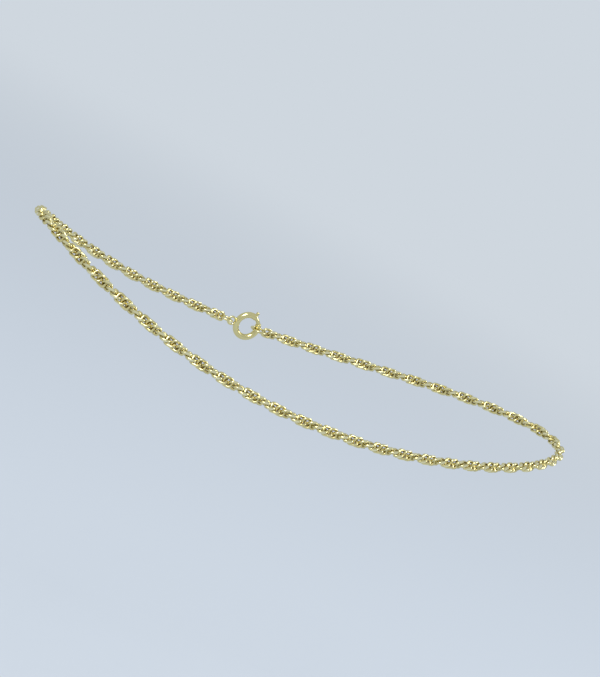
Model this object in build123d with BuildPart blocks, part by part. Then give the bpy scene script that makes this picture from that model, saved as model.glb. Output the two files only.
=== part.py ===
from build123d import *
from math import cos, pi, radians, sin
import os

# Fine twisted-curb (Singapore) chain anklet with a spring-ring clasp, in millimetres.
# It has the form it takes when worn: a long oval round the ankle, its sides hanging lower
# than its ends. The origin is the middle of the ankle opening, +Z runs up the leg, +X to
# the heel, -X to the instep, and the clasp sits at the middle of the +Y side.

# Centre line of the loop, about 254 mm round (a 10 inch anklet)
HALF_LENGTH = 53.1        # middle to the heel or to the instep
HALF_WIDTH = 24.1         # middle to either side of the ankle
HEEL_NARROWING = 0.023    # share by which the heel half is slimmer than the instep half
SIDE_SAG = 8.3            # how far the sides hang below the two ends
SAG_FORWARD = 0.335       # share by which that sag leans towards the instep
LOOP_STATIONS = 72        # points through which the centre line is drawn

# Chain links, all alike
LINK_COUNT = 246
LINK_WIDTH = 1.80
LINK_WIRE = 0.38          # wire diameter
LINK_PLAY = 0.12          # slack where one link hangs in the next
LINK_CORNER = 0.75        # corner radius as a share of half the width between wire centres
LINK_COUNTER_TWIST = 20   # degrees that each end of a link is turned against the chain
CHAIN_HALF_TURNS = 49     # half turns of twist from the first link to the last

# Spring-ring clasp, measured along the chain from its own centre
CLASP_RADIUS = 2.1        # centre line of the round body
CLASP_TUBE = 1.1          # diameter of the body's tube
EYELET_AT = 3.2
EYELET_RADIUS = 0.7
EYELET_WIRE = 0.4
LUG_DIAMETER = 0.6        # thumb lug that slides the gate open
LUG_RISE = 0.5            # how far the lug stands out of the body
LUG_ANGLE = 108           # degrees round the body from the eyelet

# Jump rings on either side of the clasp
EYELET_RING_AT, EYELET_RING_RADIUS, EYELET_RING_WIRE = 4.45, 1.15, 0.40
CATCH_RING_AT, CATCH_RING_RADIUS, CATCH_RING_WIRE = -2.50, 1.40, 0.40
FIRST_LINK_AT = 5.85
LAST_LINK_AT = -4.15

UP_THE_LEG = Vector(0, 0, 1)


def loop_point(turn):
    """Point of the centre line, for a turn of 0 at the heel to 1 back at the heel."""
    angle = 2 * pi * turn
    return (
        HALF_LENGTH * cos(angle),
        HALF_WIDTH * sin(angle) * (1 - HEEL_NARROWING * cos(angle)),
        -SIDE_SAG * sin(angle) ** 2 * (1 - SAG_FORWARD * cos(angle)),
    )


with BuildLine() as loop:
    Spline(*[loop_point(i / LOOP_STATIONS) for i in range(LOOP_STATIONS)], periodic=True)
loop_edge = loop.edges()[0]


def seat(distance, roll=0.0):
    """Place on the loop: X along the chain, Z out from the leg, rolled about X."""
    there = distance % loop_edge.length
    along = loop_edge.tangent_at(there, PositionMode.LENGTH)
    flat = Plane(
        origin=loop_edge.position_at(there, PositionMode.LENGTH),
        x_dir=along,
        z_dir=along.cross(UP_THE_LEG),
    )
    return flat.location * Location((0, 0, 0), (roll, 0, 0))


# The clasp, its two rings and the end links together straddle the middle of the +Y side
clasp_at = loop_edge.length / 4 - (FIRST_LINK_AT + LAST_LINK_AT) / 2

chain_length = loop_edge.length - FIRST_LINK_AT + LAST_LINK_AT
link_pitch = chain_length / (LINK_COUNT - 1)
link_roll = 180 * CHAIN_HALF_TURNS / (LINK_COUNT - 1)

link_reach = (link_pitch + LINK_WIRE + LINK_PLAY) / 2
link_half_width = (LINK_WIDTH - LINK_WIRE) / 2
link_bend = LINK_CORNER * link_half_width
side_y = link_half_width * cos(radians(LINK_COUNTER_TWIST))
side_z = -link_half_width * sin(radians(LINK_COUNTER_TWIST))

# Half of a link, from the middle of one long side round its end to the middle of the other
with BuildPart() as half_link:
    with BuildLine() as half_run:
        FilletPolyline(
            (0, side_y, 0),
            (link_reach, side_y, side_z),
            (link_reach, -side_y, -side_z),
            (0, -side_y, 0),
            radius=link_bend,
        )
    run = half_run.wire()
    with BuildSketch(Plane(origin=run @ 0, z_dir=run % 0)):
        Circle(LINK_WIRE / 2)
    sweep(path=run)

with BuildPart() as link:
    add(half_link.part)
    add(half_link.part, rotation=(0, 180, 0))

link_seats = [
    seat(clasp_at + FIRST_LINK_AT + i * link_pitch, i * link_roll) for i in range(LINK_COUNT)
]
with BuildPart() as chain:
    with Locations(*link_seats):
        add(link.part, clean=False)
chain.part.label = "chain"

with BuildPart(seat(clasp_at)) as clasp:
    Torus(CLASP_RADIUS, CLASP_TUBE / 2)
    with Locations((EYELET_AT, 0, 0)):
        Torus(EYELET_RADIUS, EYELET_WIRE / 2)
    with PolarLocations(CLASP_RADIUS, 1, start_angle=LUG_ANGLE):
        with Locations(Location((0, 0, 0), (0, 90, 0))):
            Cylinder(
                LUG_DIAMETER / 2,
                CLASP_TUBE / 2 + LUG_RISE,
                align=(Align.CENTER, Align.CENTER, Align.MIN),
            )
clasp.part.label = "clasp"

EDGEWISE = Location((0, 0, 0), (90, 0, 0))  # a ring that stands across the clasp's plane

with BuildPart(seat(clasp_at + EYELET_RING_AT) * EDGEWISE) as eyelet_ring:
    Torus(EYELET_RING_RADIUS, EYELET_RING_WIRE / 2)
eyelet_ring.part.label = "eyelet_ring"

with BuildPart(seat(clasp_at + CATCH_RING_AT) * EDGEWISE) as catch_ring:
    Torus(CATCH_RING_RADIUS, CATCH_RING_WIRE / 2)
catch_ring.part.label = "catch_ring"

os.makedirs("parts", exist_ok=True)
export_step(chain.part, "parts/chain.step")
export_step(clasp.part, "parts/clasp.step")
export_step(eyelet_ring.part, "parts/eyelet_ring.step")
export_step(catch_ring.part, "parts/catch_ring.step")
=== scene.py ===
import math
import random
from bisect import bisect_right

import bpy
from mathutils import Matrix, Vector


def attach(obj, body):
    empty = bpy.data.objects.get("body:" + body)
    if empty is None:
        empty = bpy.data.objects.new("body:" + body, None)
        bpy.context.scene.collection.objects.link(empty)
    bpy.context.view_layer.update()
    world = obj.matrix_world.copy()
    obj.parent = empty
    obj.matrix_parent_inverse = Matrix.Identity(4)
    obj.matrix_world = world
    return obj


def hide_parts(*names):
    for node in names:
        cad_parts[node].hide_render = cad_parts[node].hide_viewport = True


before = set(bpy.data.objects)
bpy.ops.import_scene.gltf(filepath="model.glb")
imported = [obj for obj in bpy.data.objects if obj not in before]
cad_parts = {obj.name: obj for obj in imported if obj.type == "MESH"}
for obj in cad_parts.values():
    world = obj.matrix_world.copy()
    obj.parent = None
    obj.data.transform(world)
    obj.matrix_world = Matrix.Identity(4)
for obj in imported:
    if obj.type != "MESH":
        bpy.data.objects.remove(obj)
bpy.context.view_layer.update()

# A fine twisted-curb (Singapore) chain anklet in 14 karat yellow gold, closed by a spring-ring
# clasp and two jump rings. Each piece is shaped in millimetres at the origin and then seated on
# the loop in metres. Lengths are in millimetres and angles in degrees, unless a comment says
# otherwise. The loop, the places along it and the clasp's sizes are the same as the solids'.
MM = 0.001

# The loop: the chain's centre line as worn, a long oval whose sides hang lower than its ends
HALF_LENGTH = 53.1           # middle to the heel or to the instep
HALF_WIDTH = 24.1            # middle to either side of the ankle
HEEL_NARROWING = 0.023       # share by which the heel half is slimmer than the instep half
SIDE_SAG = 8.3               # how far the sides hang below the two ends
SAG_FORWARD = 0.335          # share by which that sag leans towards the instep
LOOP_STEPS = 2880            # short steps in which the loop's length is added up

# The run of links
LINK_COUNT = 246
CHAIN_HALF_TURNS = 49        # half turns of twist from the first link to the last
ROLL_SCATTER = 1.3           # links closed by hand lie unevenly, by up to this much either way
ROLL_SEED = 14

# One link. Its wire is thicker than the solid link's, which has to keep clear of its neighbours.
LINK_WIRE = 0.54             # wire diameter, before the facets are cut
LINK_WIRE_SIDES = 6
LINK_REACH = 0.748           # middle of the link to the middle of its end wire
LINK_HALF_WIDTH = 0.71       # middle of the link to the middle of its side wire
LINK_BEND = 0.42             # corner radius of the wire's middle
LINK_BEND_STEPS = 2
LINK_COUNTER_TWIST = 40      # from one end of the link to the other, against the chain
FACET_AT = 0.895             # the diamond cutter takes off what stands beyond this
HOLLOW_FROM = 0.4            # a face turned inwards by more than this share lines the hollow
HOLLOW_SIDE_WEIGHT = 1.3     # a link's sides count for more than its ends in that

# Clasp, measured from its own centre, with angles counted round it from its eyelet
CLASP_RADIUS = 2.1           # middle of the tube
CLASP_TUBE = 1.1
GATE_FROM, GATE_TO = 116, 152    # the mouth in the tube, which the sliding gate closes
GATE_WIRE = 0.72
GATE_HIDDEN = 6              # how far the gate runs on into the tube at either side
LUG_ANGLE = 108              # thumb lug that slides the gate open
LUG_DIAMETER = 0.6
LUG_RISE = 0.5               # how far the lug stands out of the tube
LUG_SIDES = 16
LUG_CROWN = 0.12
SLOT_SPAN = 34               # slot in which the lug slides back
SLOT_BEYOND = CLASP_RADIUS + 0.45 * CLASP_TUBE    # in the tube's outermost faces, past this radius
SLOT_LIP = 0.04
SLOT_DEPTH = 0.14
EYELET_AT = 3.2
EYELET_RADIUS = 0.7
EYELET_WIRE = 0.4

# Places along the chain from the clasp's centre, and the two jump rings
FIRST_LINK_AT = 5.85
LAST_LINK_AT = -4.15
EYELET_RING_AT, EYELET_RING_RADIUS = 4.45, 1.15
CATCH_RING_AT, CATCH_RING_RADIUS = -2.50, 1.40
EYELET_RING_JOINT, CATCH_RING_JOINT = 70, 110    # where each ring's two ends meet
RING_WIRE = 0.40
RING_GAP = 2                 # left between those ends

# How surfaces are finished off
WELD_WITHIN = 0.002
EASE_OVER = 60               # edges sharper than this are eased
SMOOTH_UP_TO = 40            # edges blunter than this are shaded smooth

# Studio and camera, in metres. The camera is on the instep side, a little above, and is rolled
# so that the leg leans to the right.
FLOOR_Z = -0.085
FLOOR_RADIUS = 6.0
FLOOR_FADE_FROM, FLOOR_FADE_TO = 0.25, 0.9
FLOOR_TONE = "#C3CAD2"
BACKDROP_TONE = "#CFD7DF"
ROOM_TONE = "#F4F8FC"
ROOM_LEVEL = 0.72
CAMERA_AZIMUTH, CAMERA_ELEVATION, CAMERA_ROLL = -30.13, 9.86, 29.51
CAMERA_DISTANCE = 0.3607
CAMERA_LENS, CAMERA_SENSOR = 114.9, 36       # in millimetres
CAMERA_SHIFT_X, CAMERA_SHIFT_Y = -0.0246, -0.0037    # shares of the frame
CAMERA_NEAR, CAMERA_FAR = 0.01, 20


# ---------------------------------------------------------------- the loop
def loop_point(turn):
    """Point of the centre line in millimetres, for a turn of 0 at the heel round to 1."""
    angle = 2 * math.pi * turn
    return Vector((
        HALF_LENGTH * math.cos(angle),
        HALF_WIDTH * math.sin(angle) * (1 - HEEL_NARROWING * math.cos(angle)),
        -SIDE_SAG * math.sin(angle) ** 2 * (1 - SAG_FORWARD * math.cos(angle)),
    ))


stations = [loop_point(i / LOOP_STEPS) for i in range(LOOP_STEPS + 1)]
run_to = [0.0]
for here, there in zip(stations, stations[1:]):
    run_to.append(run_to[-1] + (there - here).length)
loop_length = run_to[-1]


def seat(distance, roll=0.0):
    """Matrix on the loop: X along the chain, Z out from the leg, rolled about X."""
    distance %= loop_length
    i = min(bisect_right(run_to, distance) - 1, LOOP_STEPS - 1)
    turn = (i + (distance - run_to[i]) / (run_to[i + 1] - run_to[i])) / LOOP_STEPS
    nudge = 1e-4
    along = (loop_point(turn + nudge) - loop_point(turn - nudge)).normalized()
    outward = along.cross(Vector((0, 0, 1))).normalized()
    turned = Matrix((along, outward.cross(along), outward)).transposed().to_4x4()
    rolled = turned @ Matrix.Rotation(math.radians(roll), 4, "X")
    return Matrix.Translation(loop_point(turn) * MM) @ rolled @ Matrix.Scale(MM, 4)


# The clasp, its two rings and the end links together straddle the middle of the +Y side
clasp_at = loop_length / 4 - (FIRST_LINK_AT + LAST_LINK_AT) / 2
link_pitch = (loop_length - FIRST_LINK_AT + LAST_LINK_AT) / (LINK_COUNT - 1)
link_roll = 180 * CHAIN_HALF_TURNS / (LINK_COUNT - 1)


# ---------------------------------------------------------------- workshop helpers
def select_only(*pieces):
    """Selects these pieces and nothing else, the first of them active."""
    if bpy.context.mode != "OBJECT":
        bpy.ops.object.mode_set(mode="OBJECT")
    bpy.ops.object.select_all(action="DESELECT")
    for piece in pieces:
        piece.select_set(True)
    if pieces:
        bpy.context.view_layer.objects.active = pieces[0]


def edit_all():
    """Edit mode on the active piece, with all of it selected."""
    bpy.ops.object.mode_set(mode="EDIT")
    bpy.ops.mesh.select_all(action="SELECT")


def edit_faces(piece, wanted):
    """Edit mode on the piece, with only those of its faces selected that are wanted."""
    select_only(piece)
    bpy.ops.object.mode_set(mode="EDIT")
    bpy.ops.mesh.select_mode(type="FACE")
    bpy.ops.mesh.select_all(action="DESELECT")
    bpy.ops.object.mode_set(mode="OBJECT")
    for face in piece.data.polygons:
        face.select = wanted(face)
    bpy.ops.object.mode_set(mode="EDIT")


def leave_edit():
    bpy.ops.object.mode_set(mode="OBJECT")


def wire_end(name, diameter, sides, at, facing):
    """Starts a piece as the cut end of a round wire, and stays in edit mode on it."""
    select_only()
    bpy.ops.mesh.primitive_circle_add(
        vertices=sides, radius=diameter / 2, location=(0, 0, 0), rotation=facing)
    piece = bpy.context.object
    piece.name = name
    bpy.ops.object.transform_apply(location=False, rotation=True, scale=False)
    edit_all()
    bpy.ops.transform.translate(value=at)
    return piece


def draw_out(step):
    """Draws the wire on in a straight line."""
    bpy.ops.mesh.extrude_region_move(TRANSFORM_OT_translate={"value": step})


# Blender's spin and rotate count turns the other way from the right-hand rule that these two keep
def bend_round(centre, degrees, steps):
    """Bends the wire on round a centre, in the XY plane."""
    bpy.ops.mesh.spin(
        steps=steps, angle=-math.radians(degrees), center=centre, axis=(0, 0, 1))


def turn_round(degrees):
    """Turns what is selected about the Z axis."""
    bpy.ops.transform.rotate(
        value=-math.radians(degrees), orient_axis="Z", center_override=(0, 0, 0))


def close_wire():
    """Joins the wire's two ends and turns its surface outwards."""
    bpy.ops.mesh.select_all(action="SELECT")
    bpy.ops.mesh.remove_doubles(threshold=WELD_WITHIN)
    bpy.ops.mesh.normals_make_consistent(inside=False)


def apply_all(piece):
    select_only(piece)
    for modifier in list(piece.modifiers):
        bpy.ops.object.modifier_apply(modifier=modifier.name)


def ease_edges(piece, width, segments=2):
    """Rounds off the piece's hard edges."""
    ease = piece.modifiers.new("ease", "BEVEL")
    ease.width, ease.segments = width, segments
    ease.limit_method, ease.angle_limit = "ANGLE", math.radians(EASE_OVER)
    apply_all(piece)


def join_as(name, pieces):
    """Joins the pieces into the first of them, and names it."""
    select_only(*pieces)
    bpy.ops.object.join()
    pieces[0].name = name
    return pieces[0]


def seat_on_loop(piece, distance, roll=0.0):
    """Seats a finished piece on the loop, with its place in its mesh, and shades it."""
    select_only(piece)
    piece.matrix_world = seat(distance, roll)
    bpy.ops.object.transform_apply(location=True, rotation=True, scale=True)
    bpy.ops.object.shade_smooth_by_angle(angle=math.radians(SMOOTH_UP_TO))


# ---------------------------------------------------------------- finishes
def from_hex(text):
    """sRGB hex to the linear colour that the shader takes."""
    levels = [int(text[i:i + 2], 16) / 255 for i in (1, 3, 5)]
    return (*[v / 12.92 if v <= 0.04045 else ((v + 0.055) / 1.055) ** 2.4 for v in levels], 1)


def add_node(tree, kind, settings=None, inputs=None):
    """One node, its settings, and for each input a value or the socket that feeds it."""
    made = tree.nodes.new(kind)
    for key, value in (settings or {}).items():
        setattr(made, key, value)
    for key, value in (inputs or {}).items():
        if isinstance(value, bpy.types.NodeSocket):
            tree.links.new(value, made.inputs[key])
        else:
            made.inputs[key].default_value = value
    return made


def blank_tree(owner):
    """The empty node tree of a material or world."""
    owner.use_nodes = True
    owner.node_tree.nodes.clear()
    return owner.node_tree


def gold(name, light, deep, roughness, mark_size, mark_depth):
    """14 karat yellow gold: its two tones, how rough it is, and the marks of its making."""
    material = bpy.data.materials.new(name)
    tree = blank_tree(material)
    place = add_node(tree, "ShaderNodeTexCoord").outputs["Object"]
    # tone drifts over a few millimetres, as alloy and skin oils leave it
    drift = add_node(tree, "ShaderNodeTexNoise", None, {
        "Vector": place, "Scale": 1 / (2.5 * MM), "Detail": 2.0, "Roughness": 0.5})
    tone = add_node(tree, "ShaderNodeMix", {"data_type": "RGBA"}, {
        "Factor": drift.outputs["Fac"], "A": from_hex(deep), "B": from_hex(light)})
    # drawing and polishing marks: real ones are a hundredth of a millimetre apart, and they are
    # drawn as coarse as mark_size so that they break up the highlights
    marks = add_node(tree, "ShaderNodeTexNoise", None, {
        "Vector": place, "Scale": 1 / (mark_size * MM), "Detail": 3.0, "Roughness": 0.6})
    worn = add_node(tree, "ShaderNodeMapRange", None, {
        "Value": marks.outputs["Fac"], "From Min": 0.3, "From Max": 0.7,
        "To Min": roughness * 0.7, "To Max": roughness * 1.4})
    dents = add_node(tree, "ShaderNodeBump", None, {
        "Height": marks.outputs["Fac"], "Strength": 0.5, "Distance": mark_depth * MM})
    metal = add_node(tree, "ShaderNodeBsdfPrincipled", None, {
        "Base Color": tone.outputs["Result"], "Metallic": 1.0,
        "Roughness": worn.outputs["Result"], "Normal": dents.outputs["Normal"]})
    add_node(tree, "ShaderNodeOutputMaterial", None, {"Surface": metal.outputs["BSDF"]})
    return material


# Drawn wire, tumbled bright: the round of each link, a pale warm yellow with soft highlights
wire_gold = gold(
    "tumbled_gold_wire", light="#E5DBA5", deep="#D4C686", roughness=0.20,
    mark_size=0.35, mark_depth=0.006)
# The inside of each link, which no cloth reaches: the same alloy, duller, with its tone painted
# deeper as painted shade inside the links
inner_gold_painted_shade = gold(
    "unpolished_inner_gold_painted_shade", light="#C9BA7E", deep="#B09F60", roughness=0.34,
    mark_size=0.20, mark_depth=0.008)
# Facets left by the diamond cutter: mirror flats, smoother than the wire, whose tones are painted
# paler than the alloy's as a painted highlight, so that they flash nearly white
facet_gold_painted_highlight = gold(
    "diamond_cut_gold_painted_highlight", light="#F4EDC8", deep="#E9DFA9", roughness=0.07,
    mark_size=0.60, mark_depth=0.002)
# Clasp and rings, cast or wound and then buffed on a wheel: long clear highlights
buffed_gold = gold(
    "buffed_gold", light="#E5DBA5", deep="#D4C686", roughness=0.16,
    mark_size=0.50, mark_depth=0.004)

LINK_FINISHES = wire_gold, inner_gold_painted_shade, facet_gold_painted_highlight
ROUND, HOLLOW, FACET = range(3)              # where each of them goes on a link


# ---------------------------------------------------------------- links
def draw_link_wire():
    """Wire drawn round a rounded oblong, corner by corner, and closed on itself."""
    run_x = LINK_REACH - LINK_BEND
    run_y = LINK_HALF_WIDTH - LINK_BEND
    link = wire_end(
        "link", LINK_WIRE, LINK_WIRE_SIDES, at=(-run_x, LINK_HALF_WIDTH, 0),
        facing=(0, math.radians(90), 0))
    for straight, corner in (
        ((2 * run_x, 0, 0), (run_x, run_y, 0)),
        ((0, -2 * run_y, 0), (run_x, -run_y, 0)),
        ((-2 * run_x, 0, 0), (-run_x, -run_y, 0)),
        ((0, 2 * run_y, 0), (-run_x, run_y, 0)),
    ):
        draw_out(straight)
        bend_round(corner, -90, LINK_BEND_STEPS)
    close_wire()
    return link


def cut_facets():
    """Cuts both long sides of the link flat, as the diamond cutter does."""
    for side in (1, -1):
        bpy.ops.mesh.select_all(action="SELECT")
        bpy.ops.mesh.bisect(
            plane_co=(0, side * FACET_AT, 0), plane_no=(0, side, 0), use_fill=True,
            clear_outer=True, threshold=1e-5)


def finish_of(face):
    """Which of a link's finishes a face of it takes."""
    outward = Vector((face.center.x, face.center.y * HOLLOW_SIDE_WEIGHT, 0)).normalized()
    # the cutter's flats take the facet gold with its painted highlight
    if abs(abs(face.center.y) - FACET_AT) < WELD_WITHIN:
        return FACET
    # faces turned into the link's hollow take the inner gold with its painted shade
    if face.normal.dot(outward) < -HOLLOW_FROM:
        return HOLLOW
    return ROUND


def model_link():
    """One link: its wire, facets and finishes, then its counter-twist."""
    link = draw_link_wire()
    cut_facets()
    leave_edit()
    for finish in LINK_FINISHES:
        link.data.materials.append(finish)
    for face in link.data.polygons:
        face.material_index = finish_of(face)
    twist = link.modifiers.new("counter_twist", "SIMPLE_DEFORM")
    twist.deform_method, twist.deform_axis = "TWIST", "X"
    twist.angle = -math.radians(LINK_COUNTER_TWIST)
    apply_all(link)
    # shaded round, with a hard edge only where the cutter left its flats
    bpy.ops.object.shade_smooth()
    edit_faces(link, lambda face: face.material_index == FACET)
    bpy.ops.mesh.region_to_loop()
    bpy.ops.mesh.mark_sharp()
    leave_edit()
    return link


def assemble_chain():
    """Copies the link round the loop, each rolled on from the last, and joins them."""
    pattern = model_link()
    scatter = random.Random(ROLL_SEED)
    links = []
    for i in range(LINK_COUNT):
        copy = pattern.copy()
        copy.data = pattern.data.copy()
        bpy.context.scene.collection.objects.link(copy)
        roll = i * link_roll + scatter.uniform(-ROLL_SCATTER, ROLL_SCATTER)
        copy.matrix_world = seat(clasp_at + FIRST_LINK_AT + i * link_pitch, roll)
        links.append(copy)
    bpy.data.objects.remove(pattern)
    select_only(*links)
    bpy.ops.object.transform_apply(location=True, rotation=True, scale=True)
    return join_as("twisted_curb_chain", links)


# ---------------------------------------------------------------- clasp and jump rings
def bent_bar(name, radius, wire, start, sweep, sides, steps, ease=0.0):
    """Round bar bent about Z from the start angle through the sweep, its cut ends eased."""
    bar = wire_end(name, wire, sides, at=(radius, 0, 0), facing=(math.radians(90), 0, 0))
    if sweep < 360:
        bpy.ops.mesh.edge_face_add()
    turn_round(start)
    bend_round((0, 0, 0), sweep, steps)
    close_wire()
    leave_edit()
    if ease:
        ease_edges(bar, ease)
    return bar


def model_tube():
    """The clasp's round body, open at its mouth, with the slot that the lug slides in."""
    tube = bent_bar(
        "tube", CLASP_RADIUS, CLASP_TUBE, start=GATE_TO, sweep=360 - GATE_TO + GATE_FROM,
        sides=18, steps=54, ease=0.07)

    def in_slot(face):
        angle = math.degrees(math.atan2(face.center.y, face.center.x)) % 360
        outermost = face.center.xy.length > SLOT_BEYOND
        return outermost and LUG_ANGLE - SLOT_SPAN < angle < LUG_ANGLE

    edit_faces(tube, in_slot)
    bpy.ops.mesh.inset(thickness=SLOT_LIP, depth=-SLOT_DEPTH)
    leave_edit()
    return tube


def model_gate():
    """The slimmer bar that closes the mouth and slides back into the tube."""
    return bent_bar(
        "gate", CLASP_RADIUS, GATE_WIRE, start=GATE_FROM - GATE_HIDDEN,
        sweep=GATE_TO - GATE_FROM + 2 * GATE_HIDDEN, sides=12, steps=10, ease=0.04)


def model_lug():
    """The thumb lug, a short crowned peg that stands out of the tube."""
    select_only()
    height = CLASP_TUBE / 2 + LUG_RISE
    bpy.ops.mesh.primitive_cylinder_add(
        vertices=LUG_SIDES, radius=LUG_DIAMETER / 2, depth=height,
        location=(CLASP_RADIUS + height / 2, 0, 0), rotation=(0, math.radians(90), 0))
    lug = bpy.context.object
    bpy.ops.object.transform_apply(location=True, rotation=True, scale=True)
    edit_all()
    turn_round(LUG_ANGLE)
    leave_edit()
    ease_edges(lug, LUG_CROWN, segments=3)
    return lug


def model_eyelet():
    """The small closed ring soldered to the tube, which the chain's end hangs on."""
    eyelet = bent_bar(
        "eyelet", EYELET_RADIUS, EYELET_WIRE, start=0, sweep=360, sides=12, steps=30)
    edit_all()
    bpy.ops.transform.translate(value=(EYELET_AT, 0, 0))
    leave_edit()
    return eyelet


def assemble_clasp():
    """Spring ring: tube, gate, lug and eyelet, as one piece."""
    parts = [model_tube(), model_gate(), model_lug(), model_eyelet()]
    clasp = join_as("spring_ring_clasp", parts)
    clasp.data.materials.append(buffed_gold)
    seat_on_loop(clasp, clasp_at)
    return clasp


def model_jump_ring(name, radius, at, joint):
    """Ring of round wire that stands across the clasp, its butted ends meeting at the joint."""
    ring = bent_bar(
        name, radius, RING_WIRE, start=joint, sweep=360 - RING_GAP, sides=12, steps=36,
        ease=0.03)
    ring.data.materials.append(buffed_gold)
    seat_on_loop(ring, clasp_at + at, roll=90)
    return ring


# ---------------------------------------------------------------- the anklet
chain = assemble_chain()
clasp = assemble_clasp()
eyelet_ring = model_jump_ring(
    "eyelet_jump_ring", EYELET_RING_RADIUS, EYELET_RING_AT, EYELET_RING_JOINT)
catch_ring = model_jump_ring(
    "catch_jump_ring", CATCH_RING_RADIUS, CATCH_RING_AT, CATCH_RING_JOINT)
for piece, cad_node, finish in (
    (chain, "chain", "chain_gold"),
    (clasp, "clasp", "clasp_gold"),
    (eyelet_ring, "eyelet_ring", "ring_gold"),
    (catch_ring, "catch_ring", "ring_gold"),
):
    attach(piece, "root")
    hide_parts(cad_node)


# ---------------------------------------------------------------- studio
def backdrop_ray(tree):
    """1 for the rays that show the backdrop: straight from the camera, mirrored or let through."""
    path = add_node(tree, "ShaderNodeLightPath").outputs
    shown = add_node(tree, "ShaderNodeMath", {"operation": "ADD", "use_clamp": True}, {
        0: path["Is Camera Ray"], 1: path["Is Glossy Ray"]})
    return add_node(tree, "ShaderNodeMath", {"operation": "ADD", "use_clamp": True}, {
        0: shown.outputs[0], 1: path["Is Transmission Ray"]}).outputs[0]


def white_card():
    """Matt white card, which turns to the backdrop's own tone as it runs out from the middle."""
    card = bpy.data.materials.new("matt_white_card")
    tree = blank_tree(card)
    place = add_node(tree, "ShaderNodeTexCoord").outputs["Object"]
    level = add_node(tree, "ShaderNodeVectorMath", {"operation": "MULTIPLY"}, {
        0: place, 1: (1, 1, 0)})
    reach = add_node(tree, "ShaderNodeVectorMath", {"operation": "LENGTH"}, {
        0: level.outputs[0]})
    fade = add_node(tree, "ShaderNodeMapRange", {"interpolation_type": "SMOOTHSTEP"}, {
        "Value": reach.outputs["Value"], "From Min": FLOOR_FADE_FROM, "From Max": FLOOR_FADE_TO})
    shown = add_node(tree, "ShaderNodeMath", {"operation": "MULTIPLY"}, {
        0: fade.outputs["Result"], 1: backdrop_ray(tree)})
    matt = add_node(tree, "ShaderNodeBsdfDiffuse", None, {"Color": from_hex(FLOOR_TONE)})
    glow = add_node(tree, "ShaderNodeEmission", None, {"Color": from_hex(BACKDROP_TONE)})
    mix = add_node(tree, "ShaderNodeMixShader", None, {
        0: shown.outputs[0], 1: matt.outputs[0], 2: glow.outputs[0]})
    add_node(tree, "ShaderNodeOutputMaterial", None, {"Surface": mix.outputs[0]})
    return card


def lay_floor():
    """A level floor, far below the anklet."""
    select_only()
    bpy.ops.mesh.primitive_circle_add(
        vertices=96, radius=FLOOR_RADIUS, fill_type="NGON", location=(0, 0, FLOOR_Z))
    floor = bpy.context.object
    floor.name = "floor"
    bpy.ops.object.transform_apply(location=True, rotation=True, scale=True)
    floor.data.materials.append(white_card())


def light_room():
    """Even light from all round, with the backdrop's tone where the room itself is seen."""
    world = bpy.data.worlds.new("studio")
    bpy.context.scene.world = world
    tree = blank_tree(world)
    fill = add_node(tree, "ShaderNodeBackground", None, {
        "Color": from_hex(ROOM_TONE), "Strength": ROOM_LEVEL})
    seen = add_node(tree, "ShaderNodeBackground", None, {"Color": from_hex(BACKDROP_TONE)})
    mix = add_node(tree, "ShaderNodeMixShader", None, {
        0: backdrop_ray(tree), 1: fill.outputs[0], 2: seen.outputs[0]})
    add_node(tree, "ShaderNodeOutputWorld", None, {"Surface": mix.outputs[0]})


def hang_softbox(name, place, width, watts, tone):
    """A square lamp that faces the anklet."""
    lamp = bpy.data.lights.new(name, "AREA")
    lamp.shape, lamp.size, lamp.energy = "SQUARE", width, watts
    lamp.color = from_hex(tone)[:3]
    holder = bpy.data.objects.new(name, lamp)
    bpy.context.scene.collection.objects.link(holder)
    holder.location = place
    holder.rotation_euler = (-Vector(place)).to_track_quat("-Z", "Y").to_euler()


def set_camera():
    """Places the camera round the loop's middle by its azimuth, elevation, distance and roll."""
    azimuth, elevation, roll = (
        math.radians(v) for v in (CAMERA_AZIMUTH, CAMERA_ELEVATION, CAMERA_ROLL))
    back = Vector((
        math.sin(azimuth) * math.cos(elevation),
        -math.cos(azimuth) * math.cos(elevation),
        math.sin(elevation),
    ))
    level = Vector((math.cos(azimuth), math.sin(azimuth), 0))
    upright = back.cross(level)
    right = math.cos(roll) * level + math.sin(roll) * upright
    top = math.cos(roll) * upright - math.sin(roll) * level
    camera = bpy.data.objects.new("camera", bpy.data.cameras.new("camera"))
    bpy.context.scene.collection.objects.link(camera)
    camera.matrix_world = (
        Matrix.Translation(back * CAMERA_DISTANCE)
        @ Matrix((right, top, back)).transposed().to_4x4()
    )
    camera.data.lens, camera.data.sensor_width = CAMERA_LENS, CAMERA_SENSOR
    camera.data.shift_x, camera.data.shift_y = CAMERA_SHIFT_X, CAMERA_SHIFT_Y
    camera.data.clip_start, camera.data.clip_end = CAMERA_NEAR, CAMERA_FAR
    bpy.context.scene.camera = camera


lay_floor()
light_room()
hang_softbox("window_light", (-0.5, -0.7, 0.9), width=0.5, watts=9.0, tone="#FFFFFF")
hang_softbox("side_light", (0.8, -0.2, 0.5), width=0.3, watts=3.0, tone="#F4F8FF")
set_camera()
bpy.context.scene.view_settings.view_transform = "Standard"
